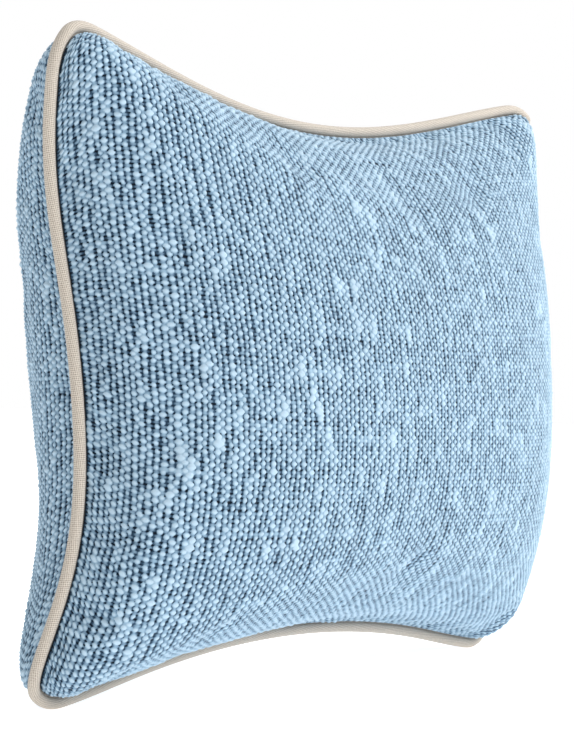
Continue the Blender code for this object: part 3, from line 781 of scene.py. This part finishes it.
def bias_woven_cotton(name, pale, dark, across_mm, bump_mm=0.12):
    """Fine plain-woven cotton cut on the bias, so its threads cross the tube slantwise."""
    finish, tree, shader = new_finish(name, Roughness=0.82, Sheen_Weight=0.15, Specular_IOR_Level=0.25)
    thread = add_node(tree, "ShaderNodeUVMap", uv_map="thread_mm").outputs["UV"]
    slanting = {"Vector": thread, "Rotation": (0, 0, math.radians(38))}
    slant = add_node(tree, "ShaderNodeMapping", slanting).outputs["Vector"]
    part = add_node(tree, "ShaderNodeSeparateXYZ", {0: slant})
    waves = []
    for axis in ("X", "Y"):
        sockets = {0: part.outputs[axis], 1: 2 * math.pi / across_mm}
        turn = add_node(tree, "ShaderNodeMath", sockets, operation="MULTIPLY").outputs[0]
        waves.append(add_node(tree, "ShaderNodeMath", {0: turn}, operation="SINE").outputs[0])
    weave = add_node(tree, "ShaderNodeMath", {0: waves[0], 1: waves[1]}, operation="MULTIPLY").outputs[0]
    weave = add_node(tree, "ShaderNodeMath", {0: weave, 1: 0.5, 2: 0.5}, operation="MULTIPLY_ADD").outputs[0]
    fleck = noise(tree, slant, 1.1, 3.0, 0.7)
    mixed = add_node(tree, "ShaderNodeMath", {0: fleck, 1: 1.0, 2: -0.35}, operation="MULTIPLY_ADD").outputs[0]
    mixed = add_node(tree, "ShaderNodeMath", {0: weave, 1: 0.75, 2: mixed}, operation="MULTIPLY_ADD").outputs[0]
    tree.links.new(ramp(tree, mixed, (0.0, dark), (0.75, pale)), shader.inputs["Base Color"])
    bump = add_node(tree, "ShaderNodeBump", {"Height": mixed, "Strength": 0.7, "Distance": bump_mm * MM})
    tree.links.new(bump.outputs["Normal"], shader.inputs["Normal"])
    return finish


def spun_thread(name, colour, dark, scale):
    """Spun or twisted fibre without a weave: matt, with short uneven fibres."""
    finish, tree, shader = new_finish(name, Roughness=0.9, Sheen_Weight=0.2, Specular_IOR_Level=0.2)
    place = add_node(tree, "ShaderNodeTexCoord").outputs["Object"]
    fibre = noise(tree, place, scale, 4.0, 0.65)
    tree.links.new(ramp(tree, fibre, (0.3, dark), (0.7, colour)), shader.inputs["Base Color"])
    bump = add_node(tree, "ShaderNodeBump", {"Height": fibre, "Strength": 0.6, "Distance": 0.3 * MM})
    tree.links.new(bump.outputs["Normal"], shader.inputs["Normal"])
    return finish


def woven_zip_tape():
    """Polyester zip tape: a fine close twill, slightly glossy, with herringbone ribs 0.8 mm apart."""
    finish, tree, shader = new_finish("woven_polyester_tape", Roughness=0.6, Specular_IOR_Level=0.4)
    place = add_node(tree, "ShaderNodeTexCoord").outputs["Object"]
    rib_gap, waves_per_scale = 0.0008, 20
    sockets = {"Vector": place, "Scale": 1 / (rib_gap * waves_per_scale), "Distortion": 0.6, "Detail": 1.0}
    rib = add_node(tree, "ShaderNodeTexWave", sockets, wave_type="BANDS", bands_direction="DIAGONAL")
    tree.links.new(ramp(tree, rib.outputs["Fac"], (0.0, "#4f708c"), (1.0, "#7d9fba")), shader.inputs["Base Color"])
    bump = add_node(tree, "ShaderNodeBump", {"Height": rib.outputs["Fac"], "Strength": 0.4, "Distance": 0.1 * MM})
    tree.links.new(bump.outputs["Normal"], shader.inputs["Normal"])
    return finish


def drawn_nylon():
    """Nylon coil wire: drawn smooth, dyed with the tape, with a soft plastic gloss."""
    finish, tree, shader = new_finish("drawn_nylon_wire", Roughness=0.35, IOR=1.53)
    place = add_node(tree, "ShaderNodeTexCoord").outputs["Object"]
    haze = add_node(tree, "ShaderNodeTexNoise", {"Vector": place, "Scale": 900.0, "Detail": 2.0}).outputs["Fac"]
    tree.links.new(ramp(tree, haze, (0.3, "#5c7f9d"), (0.7, "#7396b3")), shader.inputs["Base Color"])
    rough = add_node(tree, "ShaderNodeMapRange", {"Value": haze, "To Min": 0.28, "To Max": 0.45}).outputs["Result"]
    tree.links.new(rough, shader.inputs["Roughness"])
    return finish


def die_cast_zinc():
    """Zinc alloy, die cast, tumbled and nickel plated: satin, with faint tumbling marks."""
    finish, tree, shader = new_finish("die_cast_zinc", Metallic=1.0, Roughness=0.3)
    place = add_node(tree, "ShaderNodeTexCoord").outputs["Object"]
    marks = noise(tree, place, 1400.0, 4.0, 0.7)
    tree.links.new(ramp(tree, marks, (0.2, "#a6a8aa"), (0.8, "#c9cbcd")), shader.inputs["Base Color"])
    rough = add_node(tree, "ShaderNodeMapRange", {"Value": marks, "To Min": 0.22, "To Max": 0.42}).outputs["Result"]
    tree.links.new(rough, shader.inputs["Roughness"])
    bump = add_node(tree, "ShaderNodeBump", {"Height": marks, "Strength": 0.25, "Distance": 0.04 * MM})
    tree.links.new(bump.outputs["Normal"], shader.inputs["Normal"])
    return finish


def matt_white_board():
    """The floor: matt white board, brightly lit."""
    finish, tree, shader = new_finish("matt_white_board", Roughness=0.95, Specular_IOR_Level=0.1)
    shader.inputs["Base Color"].default_value = paint("#f7f7f7")
    shader.inputs["Emission Color"].default_value = (1.0, 1.0, 1.0, 1.0)
    shader.inputs["Emission Strength"].default_value = 0.70
    return finish


def dress(thing, finish):
    thing.data.materials.clear()
    thing.data.materials.append(finish)


cover_cloth, coil_wire = slub_woven_cotton(), drawn_nylon()
piping_cloth = bias_woven_cotton("bias_woven_cotton", "#cdc4b8", "#6f6458", 1.5)
sheeting = bias_woven_cotton("plain_cotton_sheeting", "#f4f3ee", "#dad8cf", 0.9, 0.08)
cord_cotton = spun_thread("twisted_cotton_cord", "#efece2", "#cfcabb", 2500.0)
fibre = spun_thread("carded_polyester_fibre", "#fafafa", "#dcdde0", 260.0)
for thing, node, finish, slot in (
    (cover_front, "front_panel", cover_cloth, "slub_cloth"),
    (cover_back, "back_panel", cover_cloth, "slub_cloth"),
    (piping, "piping_cover", piping_cloth, "piping_twill"),
    (cord, "piping_cord", cord_cotton, "cotton_cord"),
    (pad_front, "insert_front_panel", sheeting, "cotton_sheeting"),
    (pad_back, "insert_back_panel", sheeting, "cotton_sheeting"),
    (filling, "insert_filling", fibre, "polyester_fibre"),
    (coil_front, "zip_coil_front", coil_wire, "nylon_coil"),
    (coil_back, "zip_coil_back", coil_wire, "nylon_coil"),
):
    dress(thing, finish)
    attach(thing, "cushion")
    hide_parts(node)
dress(stitches, spun_thread("spun_polyester_thread", "#8fb0ca", "#6b8ca8", 3000.0))
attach(stitches, "cushion")

tape_finish, zinc_finish = woven_zip_tape(), die_cast_zinc()
for node, finish in (
    ("zip_tape_front", tape_finish), ("zip_tape_back", tape_finish), ("zip_slider", zinc_finish),
    ("zip_pull_tab", zinc_finish), ("zip_stop_closed", zinc_finish), ("zip_stop_open", zinc_finish),
):
    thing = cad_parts[node]
    for place in thing.material_slots:
        place.link = "OBJECT"
        place.material = finish
    if finish is zinc_finish:
        bevel = thing.modifiers.new("tumbled edges", "BEVEL")
        bevel.width, bevel.segments, bevel.limit_method = 0.12 * MM, 2, "ANGLE"


# ---------------------------------------------------------------- studio

FLOOR_RADIUS, FLOOR_SIDES, FLOOR_Z = 9, 96, -0.0002
floor_mesh = bpy.data.meshes.new("floor")
turns = np.arange(FLOOR_SIDES) * 2 * np.pi / FLOOR_SIDES
rim = [(FLOOR_RADIUS * math.cos(t), FLOOR_RADIUS * math.sin(t), FLOOR_Z) for t in turns]
floor_mesh.from_pydata(rim, [], [list(range(FLOOR_SIDES))])
floor = bpy.data.objects.new("floor", floor_mesh)
bpy.context.scene.collection.objects.link(floor)
dress(floor, matt_white_board())

MIDDLE = Vector((0.0, 0.0, HEIGHT / 2))


def towards(azimuth, rise):
    """The direction at an angle round from the front, and an angle up, in radians."""
    level = math.cos(rise)
    return Vector((math.sin(azimuth) * level, -math.cos(azimuth) * level, math.sin(rise)))


def softbox(name, azimuth, elevation, distance, size, power):
    """A round white softbox aimed at the cushion's middle."""
    lamp = bpy.data.lights.new(name, "AREA")
    lamp.shape, lamp.size, lamp.energy = "DISK", size, power
    holder = bpy.data.objects.new(name, lamp)
    holder.location = MIDDLE + distance * towards(math.radians(azimuth), math.radians(elevation))
    holder.rotation_euler = (MIDDLE - holder.location).to_track_quat("-Z", "Y").to_euler()
    bpy.context.scene.collection.objects.link(holder)


softbox("key_front", 10, 36, 2.6, 1.2, 34)
softbox("fill_right", 66, 30, 2.6, 1.4, 27)
softbox("top", 0, 82, 2.4, 1.8, 17)

world = bpy.data.worlds.new("white_studio")
bpy.context.scene.world = world
world.use_nodes = True
glow = world.node_tree
glow.nodes["Background"].inputs["Color"].default_value = (1.0, 1.0, 1.0, 1.0)
seen = add_node(glow, "ShaderNodeLightPath").outputs["Is Camera Ray"]
strength = add_node(glow, "ShaderNodeMapRange", {"Value": seen, "To Min": 0.55, "To Max": 1.0}).outputs["Result"]
glow.links.new(strength, glow.nodes["Background"].inputs["Strength"])
bpy.context.scene.view_settings.view_transform = "Standard"

# ---------------------------------------------------------------- camera

CAMERA_AZIMUTH, CAMERA_RISE, CAMERA_ROLL = -1.0294, -0.0017, 0.0284
CAMERA_DISTANCE, CAMERA_LENS_MM, SENSOR_HEIGHT_MM = 1.6147, 91.6208, 24.0
CAMERA_TARGET = Vector((-0.0219, 0.0, 0.1817))

lens = bpy.data.cameras.new("camera")
lens.sensor_fit, lens.sensor_height = "VERTICAL", SENSOR_HEIGHT_MM
lens.lens = CAMERA_LENS_MM
lens.clip_start, lens.clip_end = 0.05, 60
back = towards(CAMERA_AZIMUTH, CAMERA_RISE)
right = Vector((math.cos(CAMERA_AZIMUTH), math.sin(CAMERA_AZIMUTH), 0.0))
above = back.cross(right)
rolled_right = right * math.cos(CAMERA_ROLL) + above * math.sin(CAMERA_ROLL)
rolled_above = above * math.cos(CAMERA_ROLL) - right * math.sin(CAMERA_ROLL)
camera = bpy.data.objects.new("camera", lens)
spin = Matrix((rolled_right, rolled_above, back)).transposed().to_4x4()
camera.matrix_world = Matrix.Translation(CAMERA_TARGET + back * CAMERA_DISTANCE) @ spin
bpy.context.scene.collection.objects.link(camera)
bpy.context.scene.camera = camera
